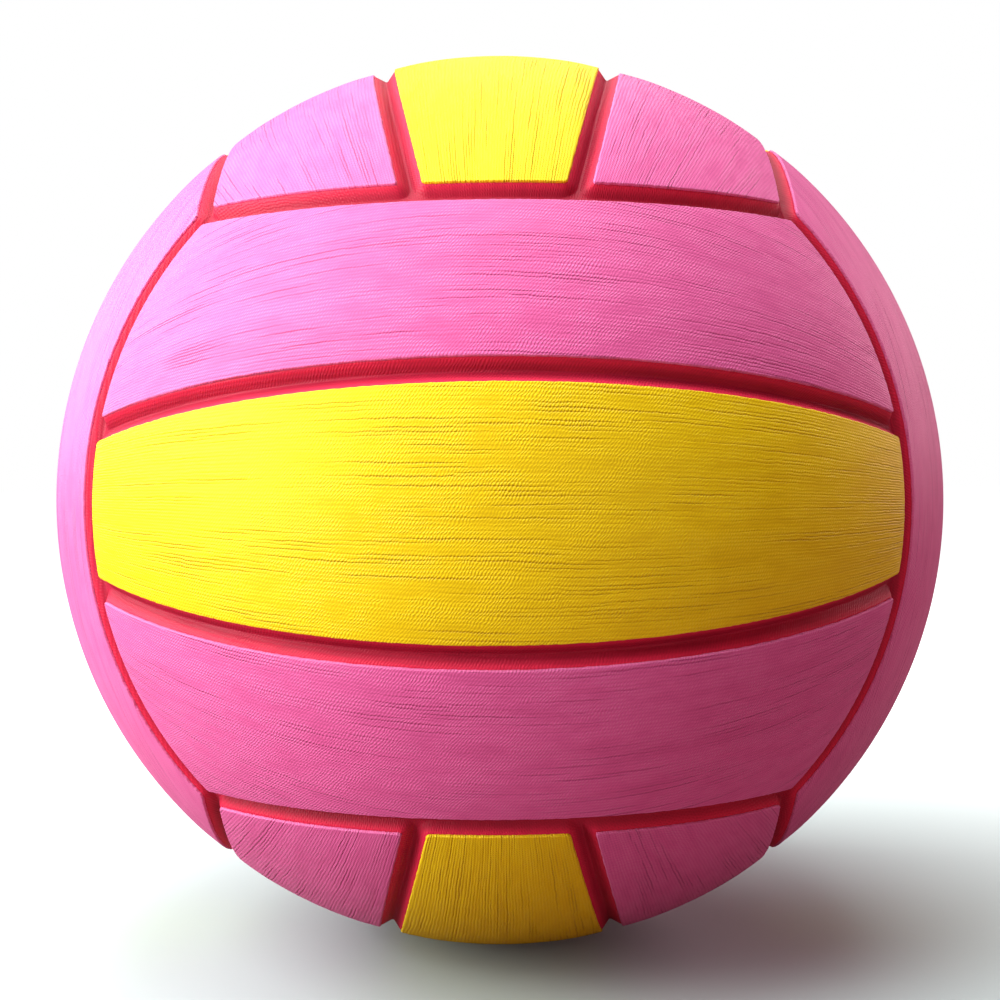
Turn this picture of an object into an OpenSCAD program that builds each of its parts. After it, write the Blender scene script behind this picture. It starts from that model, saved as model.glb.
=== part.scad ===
// Water polo ball with six faces of three strips, made of 18 panels on an under-cover.
// The origin is the ball's centre. +Z is up and the front face looks along -Y.

/* [Ball] */
// Radius over the middle of the panels
ball_r = 105; // [100:0.5:112]

/* [Panels] */
// Thickness of a panel
panel_t = 0.5; // [0.4:0.05:0.8]
// Angle at the ball's centre between the middle of a face and the seams beside its centre strip
strip_angle = 14.6; // [12:0.2:17]
// Tilt of the seams between two faces, which bows the faces' long sides outwards
face_tilt = 2; // [0:0.5:5]

/* [Channels] */
// Width of a channel between the undersides of the panels beside it
channel_w = 4.6; // [3.6:0.1:6]
// Depth of a channel under the panels' surface
channel_d = 2.1; // [1.6:0.05:2.4]
// Slope of a channel's sides
flank_angle = 41; // [38:1:55]
// Rounding of the panels' edges
edge_r = 1; // [0.6:0.05:1.2]
// Rubber left under the bottom of a channel
floor_t = 0.5; // [0.3:0.05:1]

/* [Inner layers] */
// Thickness of the layer of wound thread
winding_t = 0.35; // [0.2:0.05:1]
// Thickness of the bladder's wall
bladder_t = 0.6; // [0.4:0.05:1.5]
// Room for the adhesive between two bonded pieces
bond_gap = 0.05; // [0.02:0.01:0.1]

/* [Valve seat] */
// Radius of the neck that passes through the bladder and the winding
neck_r = 5.2; // [4.4:0.1:7]
// Radius of the flange inside the bladder
flange_r = 13; // [9:0.5:20]
// Thickness of the flange
flange_t = 1.2; // [0.8:0.1:2.5]
// Radius of the boss under the flange
boss_r = 5.6; // [4.4:0.1:7]
// Length of the boss under the flange
boss_l = 10; // [6:0.5:16]

/* [Valve plug] */
// Radius of the valve hole in the panel and the under-cover
valve_hole_r = 3.4; // [3:0.1:4.2]
// Width of the broken edge round the valve hole
hole_edge = 0.3; // [0.1:0.05:0.4]
// Gap between the plug's head and the valve hole
head_gap = 0.15; // [0.05:0.05:0.3]
// Depth of the plug's head under the ball's surface
head_recess = 0.5; // [0.2:0.1:0.8]
// Radius of the plug's stem
stem_r = 2.3; // [1.9:0.1:2.6]
// Radius of the bulb that holds the plug in the seat
bulb_r = 3.4; // [2.9:0.1:4.2]
// Length of the bulb
bulb_l = 3; // [2:0.5:5]
// Radius of the needle passage
needle_r = 1; // [0.8:0.05:1.2]
// Depth of the needle passage, down to the slit that closes by itself
needle_l = 8; // [5:0.5:10]
// Depth and widening of the cone that leads the needle in
lead_in = 0.6; // [0.3:0.1:0.8]

/* [Hidden] */
$fn = 120;
edge_steps = 3;
// Angles round the ball of the stretch that the front face is cut from, and of the cuts
strip_span = 116;
face_span = 84;
cut_span = 150;
// How far a cut runs past the surface that it opens
overrun = 1;

panel_in_r = ball_r - panel_t;
land_r = panel_in_r - bond_gap;
channel_floor_r = ball_r - channel_d;
cover_in_r = channel_floor_r - floor_t;
winding_r = cover_in_r - bond_gap;
winding_in_r = winding_r - winding_t;
bladder_r = winding_in_r - bond_gap;
bladder_in_r = bladder_r - bladder_t;
seat_r = bladder_in_r - bond_gap;
flange_in_r = seat_r - flange_t;
boss_end = flange_in_r - boss_l;
head_r = valve_hole_r - head_gap;
head_top = ball_r - head_recess;

// The seams between faces are circles that pass through the corners of a cube. This is the latitude
// of such a circle above the plane through the ball's centre.
corner_share = 1 / sqrt(3);
face_latitude = asin((cos(face_tilt) - sin(face_tilt)) * corner_share);

pink = [0.92, 0.36, 0.66];
yellow = [0.98, 0.87, 0.08];
red = [0.78, 0.07, 0.14];
thread_white = [0.90, 0.88, 0.82];
butyl_black = [0.10, 0.10, 0.11];
valve_grey = [0.20, 0.20, 0.22];

// Each face: its name, its turn about the diagonal through three faces, its half turn, and the places
// of its three strips. The turn takes the front face to the right face and then to the top face.
FACES = [
    ["front", 0, [0, 0, 0], ["upper", "centre", "lower"]],
    ["right", 120, [0, 0, 0], ["front", "centre", "back"]],
    ["top", 240, [0, 0, 0], ["right", "centre", "left"]],
    ["back", 0, [0, 0, 180], ["upper", "centre", "lower"]],
    ["left", 120, [0, 0, 180], ["back", "centre", "front"]],
    ["bottom", 240, [180, 0, 0], ["right", "centre", "left"]],
];
PANELS = [for (face = FACES) for (strip = [0:2]) [str(face[0], "_", face[3][strip], "_panel"), face, strip]];
VALVE_PANEL = "back_centre_panel";

// The outline of a channel's wall: a round edge, then a straight flank. Each point is the distance from the
// channel's middle and the depth under the ball's surface.
function flank_point(depth) = [channel_w / 2 - (depth - panel_t) / tan(flank_angle), depth];
function edge_point(angle) = flank_point(edge_r * (1 - cos(flank_angle)))
    + edge_r * [sin(flank_angle) - sin(angle), cos(flank_angle) - cos(angle)];
function past(point, before, reach) = point + (point - before) * reach / norm(point - before);

// Its first chord runs on past the ball's surface, and the flank runs on under the channel's bottom. The
// phase shifts the points along the outline, so that two walls never break at the same depth where they meet.
function wall(phase) = let (
        edge = [for (step = [1:edge_steps]) edge_point(flank_angle * (step - phase) / edge_steps)])
    concat([past(edge_point(0), edge[0], overrun)], edge,
        [flank_point(channel_d + floor_t * (1 + phase) / 4), [0, channel_d + 2 * overrun]]);

// The part of a wall that passes through a shell, with one point to spare at each end
function wall_through(wall, outer_r, inner_r) = let (last = len(wall) - 1)
    [for (i = [0:last])
        if ((i == last || ball_r - wall[i + 1][1] <= outer_r) && (i == 0 || ball_r - wall[i - 1][1] >= inner_r))
            wall[i]];

// Place of a point of the wall in the half plane beside its seam's axis
function beside_axis(point, latitude) = let (angle = latitude - point[0] / ball_r * 180 / PI)
    (ball_r - point[1]) * [cos(angle), sin(angle)];

// All that lies past a seam's wall, towards the seam's axis, +Z. It spans the front half round the axis.
module past_seam(latitude, phase, outer_r, inner_r) {
    line = [for (point = wall_through(wall(phase), outer_r, inner_r)) beside_axis(point, latitude)];
    far = outer_r + 2 * overrun;
    rotate([0, 0, -90 - cut_span / 2])
        rotate_extrude(angle = cut_span)
            polygon(concat([[0, far], [far, far], [far, line[0][1]]], line, [[0, line[len(line) - 1][1]]]));
}

// The seams round a strip of the front face: the turn of the seam's axis away from the strip, the turn
// about that axis to the strip, the seam's latitude above the plane through the ball's centre, and the
// phase of its wall
ENDS = [for (side = [-1, 1]) [[-90, 0, side * face_tilt], -side * 90, -face_latitude, 0.5]];
CENTRE_SEAMS = concat([[[-strip_angle, 0, 0], 0, 0, 0], [[180 + strip_angle, 0, 0], 180, 0, 0]], ENDS);
OUTER_SEAMS = concat([[[180 - strip_angle, 0, 0], 180, 0, 0], [[-face_tilt, 0, 0], 0, face_latitude, 0]], ENDS);

// A stretch of shell wide enough for the front face, between two radii
module face_shell(outer_r, inner_r) {
    rim = 2 * outer_r * [cos(face_span / 2), sin(face_span / 2)];
    rotate([0, 0, -90 - strip_span / 2])
        rotate_extrude(angle = strip_span)
            intersection() {
                difference() {
                    circle(r = outer_r);
                    circle(r = inner_r);
                }
                polygon([[0, 0], [rim[0], -rim[1]], rim]);
            }
}

// The stretch of shell, cut back from the first seams of a list, one after the other
module between_seams(seams, count, outer_r, inner_r) {
    if (count == 0)
        face_shell(outer_r, inner_r);
    else
        difference() {
            between_seams(seams, count - 1, outer_r, inner_r);
            rotate(seams[count - 1][0]) rotate([0, 0, seams[count - 1][1]])
                past_seam(seams[count - 1][2], seams[count - 1][3], outer_r, inner_r);
        }
}

// One strip of the front face between two radii. Its sides are the walls of the channels round it.
module front_strip(strip, outer_r, inner_r) {
    seams = strip == 1 ? CENTRE_SEAMS : OUTER_SEAMS;
    rotate([0, strip == 2 ? 180 : 0, 0]) between_seams(seams, len(seams), outer_r, inner_r);
}

module on_face(face) {
    rotate(face[2]) rotate(a = face[1], v = [1, -1, 1]) children();
}

module at_valve() {
    rotate([-90, 0, 0]) children();
}

module shell(outer_r, inner_r) {
    difference() {
        sphere(r = outer_r);
        sphere(r = inner_r);
    }
}

// The valve hole through the panel and the under-cover, with its edge broken
module valve_hole() {
    top = ball_r + overrun;
    at_valve()
        rotate_extrude()
            polygon([[0, cover_in_r - overrun], [valve_hole_r, cover_in_r - overrun],
                [valve_hole_r, ball_r - hole_edge], [valve_hole_r + top - ball_r + hole_edge, top], [0, top]]);
}

module panel(panel) {
    color(panel[2] == 1 ? yellow : pink)
        difference() {
            on_face(panel[1]) front_strip(panel[2], ball_r, panel_in_r);
            if (panel[0] == VALVE_PANEL) valve_hole();
        }
}

// The red rubber under the panels: a ball as large as the channels' bottoms, with a land for each panel
module under_cover() {
    color(red)
        difference() {
            union() {
                sphere(r = channel_floor_r);
                for (panel = PANELS)
                    on_face(panel[1]) front_strip(panel[2], land_r, channel_floor_r - floor_t / 2);
            }
            sphere(r = cover_in_r);
            valve_hole();
        }
}

module thread_winding() {
    color(thread_white)
        difference() {
            shell(winding_r, winding_in_r);
            neck_hole();
        }
}

module bladder() {
    color(butyl_black)
        difference() {
            shell(bladder_r, bladder_in_r);
            neck_hole();
        }
}

// The hole that the valve seat's neck fills
module neck_hole() {
    at_valve()
        translate([0, 0, bladder_in_r - overrun])
            cylinder(r = neck_r + bond_gap, h = cover_in_r - bladder_in_r + 2 * overrun);
}

module valve_seat() {
    color(butyl_black)
        difference() {
            union() {
                intersection() {
                    sphere(r = winding_r);
                    at_valve() translate([0, 0, flange_in_r]) cylinder(r = neck_r, h = ball_r - flange_in_r);
                }
                intersection() {
                    shell(seat_r, flange_in_r);
                    at_valve() cylinder(r = flange_r, h = ball_r);
                }
                at_valve() translate([0, 0, boss_end]) cylinder(r = boss_r, h = boss_l + flange_t / 2);
            }
            at_valve() translate([0, 0, boss_end - overrun]) cylinder(r = stem_r + bond_gap, h = ball_r - boss_end);
        }
}

// The plug is one revolved outline: head, stem and bulb, with the needle passage open at the top
module valve_plug() {
    head_bottom = cover_in_r;
    bulb_top = boss_end - bond_gap;
    bulb_bottom = bulb_top - bulb_l;
    passage_end = head_top - needle_l;
    color(valve_grey)
        at_valve()
            rotate_extrude()
                polygon([
                    [0, bulb_bottom], [stem_r, bulb_bottom], [bulb_r, bulb_bottom + bulb_l / 2], [bulb_r, bulb_top],
                    [stem_r, bulb_top], [stem_r, head_bottom], [head_r, head_bottom], [head_r, head_top],
                    [needle_r + lead_in, head_top], [needle_r, head_top - lead_in], [needle_r, passage_end],
                    [0, passage_end]
                ]);
}

for (panel = PANELS)
    panel(panel);
under_cover();
thread_winding();
bladder();
valve_seat();
valve_plug();
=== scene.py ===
"""Dressed model of a water polo ball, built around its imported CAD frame.

The ball has six faces of three strips. Each strip is one panel of thin coloured rubber, bonded to a red
under-cover that shows in the channels between the panels. Every length is in metres and every angle in
degrees, in the frame of the CAD: the origin is the ball's centre, +Z is up and the front face looks
along -Y.
"""
from __future__ import annotations

import logging
from dataclasses import dataclass, field
from enum import Enum

import bmesh
import bpy
import numpy as np
from mathutils import Matrix

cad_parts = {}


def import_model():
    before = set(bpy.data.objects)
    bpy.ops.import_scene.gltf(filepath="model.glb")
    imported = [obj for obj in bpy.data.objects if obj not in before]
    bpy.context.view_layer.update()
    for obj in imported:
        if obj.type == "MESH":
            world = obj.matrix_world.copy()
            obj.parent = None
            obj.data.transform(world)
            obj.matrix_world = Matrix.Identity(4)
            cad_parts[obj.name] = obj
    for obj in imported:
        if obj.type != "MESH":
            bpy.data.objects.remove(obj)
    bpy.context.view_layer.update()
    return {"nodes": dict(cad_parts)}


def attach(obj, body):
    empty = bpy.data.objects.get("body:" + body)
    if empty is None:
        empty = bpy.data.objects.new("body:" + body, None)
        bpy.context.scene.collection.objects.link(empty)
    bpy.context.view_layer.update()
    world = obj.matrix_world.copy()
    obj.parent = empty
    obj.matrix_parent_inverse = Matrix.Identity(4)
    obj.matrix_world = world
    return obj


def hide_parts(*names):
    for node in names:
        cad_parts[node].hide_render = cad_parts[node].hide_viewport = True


LOG = logging.getLogger("water_polo_ball")
MM = 0.001
UV_NAME = "strip_uv"
EDGE_NAME = "edge_distance"
DEPTH_NAME = "channel_depth"

Colour = tuple[float, float, float, float]
Triple = tuple[float, float, float]
Pair = tuple[float, float]
Socket = bpy.types.NodeSocket

WHITE: Colour = (1.0, 1.0, 1.0, 1.0)


@dataclass(frozen=True)
class BallSizes:
    """The sizes that the pieces share.

    All but the last three are the CAD model's own, but the ball is 0.03 mm smaller in radius, so that
    the skins stay inside the CAD's box.
    """

    ball_r: float = 104.97 * MM
    panel_t: float = 0.5 * MM
    strip_angle: float = 14.6
    face_tilt: float = 2.0
    channel_w: float = 4.6 * MM
    flank_angle: float = 41.0
    bond_gap: float = 0.05 * MM
    cover_in_r: float = 102.4 * MM
    valve_hole_r: float = 3.4 * MM
    hole_edge: float = 0.3 * MM
    corner_r: float = 0.8 * MM
    crown_drop: float = 0.2 * MM
    lap: float = 0.3 * MM

    @property
    def wall_inset(self) -> float:
        """Distance from a channel's middle to the lower edge of a panel."""
        return self.channel_w / 2

    @property
    def flank_slope(self) -> float:
        """Depth gained on a channel's side for each length across it."""
        return float(np.tan(np.radians(self.flank_angle)))

    @property
    def face_latitude(self) -> float:
        """Latitude of the seam between two faces, a circle that passes through the corners of a cube."""
        tilt = np.radians(self.face_tilt)
        return float(np.degrees(np.arcsin((np.cos(tilt) - np.sin(tilt)) / np.sqrt(3))))


def turn_matrix(axis: Triple, degrees: float) -> np.ndarray:
    """Matrix that turns points about an axis through the origin, by Rodrigues' formula.

    Args:
        axis: direction of the axis, of any length.
        degrees: angle of the turn, by the right-hand rule.

    Returns:
        A 3x3 matrix for column vectors.
    """
    x, y, z = np.array(axis) / np.linalg.norm(axis)
    cross = np.array([[0, -z, y], [z, 0, -x], [-y, x, 0]])
    angle = np.radians(degrees)
    return np.eye(3) + np.sin(angle) * cross + (1 - np.cos(angle)) * cross @ cross


class Face(Enum):
    """A face: its turn about the diagonal, its half turn's axis, and the places of its strips."""

    FRONT = (0, None, ("upper", "centre", "lower"))
    RIGHT = (120, None, ("front", "centre", "back"))
    TOP = (240, None, ("right", "centre", "left"))
    BACK = (0, (0, 0, 1), ("upper", "centre", "lower"))
    LEFT = (120, (0, 0, 1), ("back", "centre", "front"))
    BOTTOM = (240, (1, 0, 0), ("right", "centre", "left"))

    @property
    def matrix(self) -> np.ndarray:
        """Matrix that takes the front face to this face.

        Returns:
            A 3x3 matrix for column vectors.
        """
        turn, half_axis, _ = self.value
        half = np.eye(3) if half_axis is None else turn_matrix(half_axis, 180)
        return half @ turn_matrix((1, -1, 1), turn)


class Strip(Enum):
    """A strip of a face, in the order of the face's places."""

    FIRST = 0
    CENTRE = 1
    LAST = 2


def unit(vectors: np.ndarray) -> np.ndarray:
    """Vectors scaled to length one along their last axis."""
    return vectors / np.linalg.norm(vectors, axis=-1, keepdims=True)


def smooth_step(low: float, high: float, value: np.ndarray) -> np.ndarray:
    """Share from 0 at low to 1 at high, along 3t^2 - 2t^3."""
    share = np.clip((value - low) / (high - low), 0, 1)
    return share * share * (3 - 2 * share)


def value_noise(x: np.ndarray, y: np.ndarray, seed: int, count: int = 256) -> np.ndarray:
    """Smooth noise on a plane: random heights on whole-number points, blended with smooth steps.

    Args:
        x: first coordinate of each point, in cells.
        y: second coordinate of each point, in cells.
        seed: number that fixes the random heights.
        count: cells along each axis, after which the noise repeats.

    Returns:
        Heights from -1 to 1, in the shape of x.
    """
    lattice = np.random.default_rng(seed).uniform(-1, 1, (count, count))
    column = np.floor(x).astype(int)
    row = np.floor(y).astype(int)
    across = smooth_step(0, 1, x - column)
    along = smooth_step(0, 1, y - row)

    def at(step_x: int, step_y: int) -> np.ndarray:
        """Random heights at one corner of each point's cell."""
        return lattice[(column + step_x) % count, (row + step_y) % count]

    low = at(0, 0) * (1 - across) + at(1, 0) * across
    high = at(0, 1) * (1 - across) + at(1, 1) * across
    return low * (1 - along) + high * along


@dataclass(frozen=True)
class StripCell:
    """The cell of one strip, from the middle of one channel to the middle of the next, on a unit sphere.

    A row of the cell is a small circle about an axis at angle theta above +Z's mirror plane, at a
    latitude above the plane through the centre. From the lower side to the upper one both angles change
    evenly. Along a row the points go evenly from one end seam to the other.
    """

    face: Face
    strip: Strip
    sizes: BallSizes = field(default_factory=BallSizes)

    @property
    def name(self) -> str:
        """Name of the strip's panel, as in the CAD."""
        return f"{self.face.name.lower()}_{self.face.value[2][self.strip.value]}_panel"

    @property
    def row_angles(self) -> tuple[float, float, float, float]:
        """Angles that place the cell's lower and upper side.

        Returns:
            Axis angles of the lower and the upper side, then those sides' latitudes, in radians.
        """
        sizes = self.sizes
        if self.strip is Strip.CENTRE:
            angles = (-sizes.strip_angle, sizes.strip_angle, 0.0, 0.0)
        else:
            angles = (sizes.strip_angle, sizes.face_tilt, 0.0, sizes.face_latitude)
        return tuple(np.radians(angles))

    def place(self, points: np.ndarray) -> np.ndarray:
        """Points of the front face's first or centre strip, turned to this strip's own place.

        Args:
            points: places in the front face.

        Returns:
            The turned places, in the same shape.
        """
        matrix = self.face.matrix
        if self.strip is Strip.LAST:
            matrix = matrix @ turn_matrix((0, 1, 0), 180)
        return points @ matrix.T

    def points(self, along: np.ndarray, across: np.ndarray, inset: float | np.ndarray) -> np.ndarray:
        """Points of the cell drawn in by an inset, before they are turned to the strip's place.

        With the row's axis a, its latitude b and the front direction e at right angles to a and X, a
        point is sin(b) a + cos(b) (X sin(t) + e cos(t)). The row's end is where that meets the end
        seam's circle, drawn in by the same inset.

        Args:
            along: -1 at the left end of each row to 1 at its right end.
            across: -1 at the lower side to 1 at the upper side.
            inset: distance from the channels' middle lines.

        Returns:
            Unit vectors, with one more axis than the arguments.
        """
        low_angle, high_angle, low_latitude, high_latitude = self.row_angles
        shift = inset / self.sizes.ball_r
        share = (across + 1) / 2
        theta = low_angle + (high_angle - low_angle) * share
        latitude = (low_latitude + shift) * (1 - share) + (high_latitude - shift) * share
        end = self.end_turn(theta, latitude, shift) * along
        zero = np.zeros_like(end)
        axis = np.stack([zero, np.sin(theta) + zero, np.cos(theta) + zero], -1)
        front = np.stack([zero, -np.cos(theta) + zero, np.sin(theta) + zero], -1)
        side = np.stack([zero + 1, zero, zero], -1)
        ring = side * np.sin(end)[..., None] + front * np.cos(end)[..., None]
        return axis * np.sin(latitude)[..., None] + ring * np.cos(latitude)[..., None]

    def end_turn(self, theta: np.ndarray, latitude: np.ndarray, shift: float | np.ndarray) -> np.ndarray:
        """Turn about a row's axis at which the row meets its end seam.

        The seam is the circle p.b = -sin(face latitude + shift), which gives A cos(t + d) = Q.

        Args:
            theta: angle of each row's axis, in radians.
            latitude: each row's latitude about that axis, in radians.
            shift: inset from the end seam, in radians.

        Returns:
            The turn t in radians, in the shape of theta.
        """
        tilt = np.radians(self.sizes.face_tilt)
        limit = np.sin(np.radians(self.sizes.face_latitude) + shift)
        level = (limit + np.sin(latitude) * np.sin(theta) * np.cos(tilt)) / np.cos(latitude)
        front_part = np.cos(theta) * np.cos(tilt)
        reach = np.hypot(front_part, np.sin(tilt))
        return np.arccos(level / reach) - np.arctan2(np.sin(tilt), front_part)

    def side_distances(self, points: np.ndarray) -> tuple[np.ndarray, ...]:
        """Distances of points from the nearer end seam and the nearer long seam, and the ways inwards.

        Args:
            points: unit vectors in the front face.

        Returns:
            Distance and way inwards from the end seam, then distance and way from the long seam.
        """
        tilt = np.radians(self.sizes.face_tilt)
        low_angle, high_angle, low_latitude, high_latitude = self.row_angles
        ends = [((side * np.sin(tilt), np.cos(tilt), 0), -self.sizes.face_latitude) for side in (1, -1)]
        longs = [((0, -np.sin(low_angle), -np.cos(low_angle)), -np.degrees(low_latitude)),
                 ((0, np.sin(high_angle), np.cos(high_angle)), np.degrees(high_latitude))]
        return *self.nearest(points, ends), *self.nearest(points, longs)

    def nearest(self, points: np.ndarray, seams: list) -> tuple[np.ndarray, np.ndarray]:
        """Distance inwards from the nearer of two seams, and the unit way inwards from it.

        The distance from a seam is the ball's radius times the angle from its circle.

        Args:
            points: unit vectors.
            seams: axis and latitude of each seam's circle.

        Returns:
            The distances, and the ways as unit vectors.
        """
        distances = []
        ways = []
        for axis, latitude in seams:
            axis = np.array(axis)
            height = points @ axis
            angle = np.radians(latitude) - np.arcsin(np.clip(height, -1, 1))
            distances.append(self.sizes.ball_r * angle)
            ways.append(-unit(axis - height[..., None] * points))
        first_nearer = distances[0] < distances[1]
        distance = np.where(first_nearer, distances[0], distances[1])
        return distance, np.where(first_nearer[..., None], ways[0], ways[1])

    def wall_distance(self, points: np.ndarray) -> tuple[np.ndarray, np.ndarray]:
        """Distance inwards from the foot of the panel's wall, with rounded corners, and the way inwards.

        With q the corner radius less each side's distance, it is the radius - |max(q, 0)| -
        min(max(q), 0).

        Args:
            points: unit vectors in the front face.

        Returns:
            The distances, and the ways as unit vectors.
        """
        corner_r = self.sizes.corner_r
        end_distance, end_way, long_distance, long_way = self.side_distances(points)
        end_q = corner_r - (end_distance - self.sizes.wall_inset)
        long_q = corner_r - (long_distance - self.sizes.wall_inset)
        end_part = np.maximum(end_q, 0)
        long_part = np.maximum(long_q, 0)
        reach = np.hypot(end_part, long_part)
        distance = corner_r - reach - np.minimum(np.maximum(end_q, long_q), 0)
        round_way = end_way * end_part[..., None] + long_way * long_part[..., None]
        plain_way = np.where((end_distance < long_distance)[..., None], end_way, long_way)
        way = np.where((reach > 0)[..., None], round_way, plain_way)
        return distance, unit(way)

    def settle(self, points: np.ndarray, target: np.ndarray | float, rounds: int = 3) -> np.ndarray:
        """Points moved along the sphere until each is the target distance inwards from the wall.

        Args:
            points: unit vectors in the front face.
            target: the distance for each point.
            rounds: number of moves.

        Returns:
            Unit vectors in the shape of points.
        """
        for _ in range(rounds):
            distance, way = self.wall_distance(points)
            points = unit(points + way * ((target - distance) / self.sizes.ball_r)[..., None])
        return points


@dataclass
class Mesh:
    """A mesh under construction: vertices, faces as index arrays, and values for each vertex."""

    vertices: np.ndarray
    quads: np.ndarray
    triangles: np.ndarray
    uv: np.ndarray | None = None
    values: dict[str, np.ndarray] = field(default_factory=dict)

    def build(self, name: str, material: bpy.types.Material, weld: float = 0.0) -> bpy.types.Object:
        """Makes the Blender object, shaded smooth, with its UV map, attributes and used vertices alone.

        Args:
            name: name of the object.
            material: its only material.
            weld: distance under which vertices are merged, or 0.

        Returns:
            The object, linked to the scene.
        """
        data = bpy.data.meshes.new(name)
        quads = self.quads.reshape(-1, 4)
        triangles = self.triangles.reshape(-1, 3)
        corners = np.concatenate([quads.ravel(), triangles.ravel()])
        used, loops = np.unique(corners, return_inverse=True)
        loops = loops.astype(np.int32)
        sizes = np.concatenate([np.full(len(quads), 4), np.full(len(triangles), 3)]).astype(np.int32)
        starts = np.concatenate([[0], np.cumsum(sizes)[:-1]]).astype(np.int32)
        data.vertices.add(len(used))
        data.vertices.foreach_set("co", self.vertices[used].astype(np.float32).ravel())
        data.loops.add(len(loops))
        data.loops.foreach_set("vertex_index", loops)
        data.polygons.add(len(sizes))
        data.polygons.foreach_set("loop_start", starts)
        data.update(calc_edges=True)
        if self.uv is not None:
            layer = data.uv_layers.new(name=UV_NAME)
            layer.data.foreach_set("uv", self.uv[used][loops].astype(np.float32).ravel())
        for key, value in self.values.items():
            attribute = data.attributes.new(key, "FLOAT", "POINT")
            attribute.data.foreach_set("value", value[used].astype(np.float32))
        data.validate()
        data.shade_smooth()
        data.materials.append(material)
        obj = bpy.data.objects.new(name, data)
        bpy.context.scene.collection.objects.link(obj)
        if weld:
            self.weld(data, weld)
        return obj

    @staticmethod
    def weld(data: bpy.types.Mesh, distance: float) -> None:
        """Merges the vertices of a mesh that lie closer than a distance.

        Args:
            data: the mesh, changed in place.
            distance: the distance.
        """
        work = bmesh.new()
        work.from_mesh(data)
        bmesh.ops.remove_doubles(work, verts=work.verts, dist=distance)
        work.to_mesh(data)
        work.free()


@dataclass
class Patchwork:
    """Vertices, faces and values of one mesh, gathered patch by patch."""

    vertices: list[np.ndarray] = field(default_factory=list)
    uv: list[np.ndarray] = field(default_factory=list)
    values: list[np.ndarray] = field(default_factory=list)
    quads: list[np.ndarray] = field(default_factory=list)
    triangles: list[np.ndarray] = field(default_factory=list)
    count: int = 0

    def add(self, vertices: np.ndarray, uv: np.ndarray, values: np.ndarray | float) -> np.ndarray:
        """Adds a block of vertices.

        Args:
            vertices: places, in a block of any shape.
            uv: the vertices' places on the strip's plane.
            values: one value for each vertex, or one for all.

        Returns:
            The vertices' indices, in the shape of the block.
        """
        shape = vertices.shape[:-1]
        size = int(np.prod(shape))
        self.vertices.append(vertices.reshape(-1, 3))
        self.uv.append(uv.reshape(-1, 2))
        self.values.append(np.broadcast_to(values, shape).ravel())
        self.count += size
        return np.arange(self.count - size, self.count).reshape(shape)

    def bridge(self, rings: np.ndarray) -> None:
        """Adds quads between closed rings of indices, each ring joined to the one before it.

        Args:
            rings: the rings' indices, one row for each ring.
        """
        after = np.roll(rings, -1, axis=1)
        quads = np.stack([rings[:-1], rings[1:], after[1:], after[:-1]], -1)
        self.quads.append(quads.reshape(-1, 4))

    def fan(self, ring: np.ndarray, pole: int) -> None:
        """Closes a ring of indices with triangles to one vertex."""
        self.triangles.append(np.stack([ring, np.full(len(ring), pole), np.roll(ring, -1)], -1))

    def mesh(self, cell: StripCell, value_name: str) -> Mesh:
        """Joins the patches and turns them to a strip's place.

        Args:
            cell: the strip's cell.
            value_name: name of the attribute that keeps the values.

        Returns:
            The mesh.
        """
        triangles = np.concatenate(self.triangles) if self.triangles else np.zeros((0, 3), int)
        return Mesh(cell.place(np.concatenate(self.vertices)), np.concatenate(self.quads), triangles,
                    np.concatenate(self.uv), {value_name: np.concatenate(self.values)})


def grid_quads(grid: np.ndarray, gap: tuple[slice, slice] | None = None) -> np.ndarray:
    """Quads of an open grid of indices.

    Args:
        grid: indices, row after row.
        gap: rows and columns of a block of vertices whose inside is left open, or None.

    Returns:
        An array of shape (quads, 4).
    """
    quads = np.stack([grid[:-1, :-1], grid[:-1, 1:], grid[1:, 1:], grid[1:, :-1]], -1)
    kept = np.ones(quads.shape[:2], bool)
    if gap is not None:
        rows, columns = gap
        kept[rows.start:rows.stop - 1, columns.start:columns.stop - 1] = False
    return quads[kept]


def loop_indices(grid: np.ndarray) -> np.ndarray:
    """Border of a grid of indices, once round against the clock from its first vertex."""
    return np.concatenate([grid[0, :-1], grid[:-1, -1], grid[-1, :0:-1], grid[:0:-1, 0]])


def strip_plane(points: np.ndarray, ball_r: float) -> np.ndarray:
    """Lengths along and across the front face's centre strip of points on the unit sphere.

    Args:
        points: unit vectors in the front face.
        ball_r: radius of the ball.

    Returns:
        Pairs of lengths: the radius times the longitude along the strip and the turn across it.
    """
    along = np.arctan2(points[..., 0], np.hypot(points[..., 1], points[..., 2]))
    across = np.arctan2(points[..., 2], -points[..., 1])
    return np.stack([along, across], -1) * ball_r


def ring_blend(points: np.ndarray, share: np.ndarray, radius: np.ndarray) -> np.ndarray:
    """Rings between a loop round the front direction and circles round the same direction.

    Seen along that direction a point is (1 - share) of its place on the loop plus share of the point on
    the circle at the same angle, and it is then lifted to the unit sphere.

    Args:
        points: the loop, as unit vectors.
        share: one share for each ring, 0 at the loop and 1 at the circle.
        radius: each ring's circle radius over the sphere's.

    Returns:
        Unit vectors, one row for each ring.
    """
    flat = points[:, [0, 2]]
    turn = flat / np.linalg.norm(flat, axis=-1, keepdims=True)
    share = np.asarray(share)[:, None, None]
    place = (1 - share) * flat + share * np.asarray(radius)[:, None, None] * turn
    front = -np.sqrt(1 - (place ** 2).sum(-1))
    return np.stack([place[..., 0], front, place[..., 1]], -1)


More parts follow.
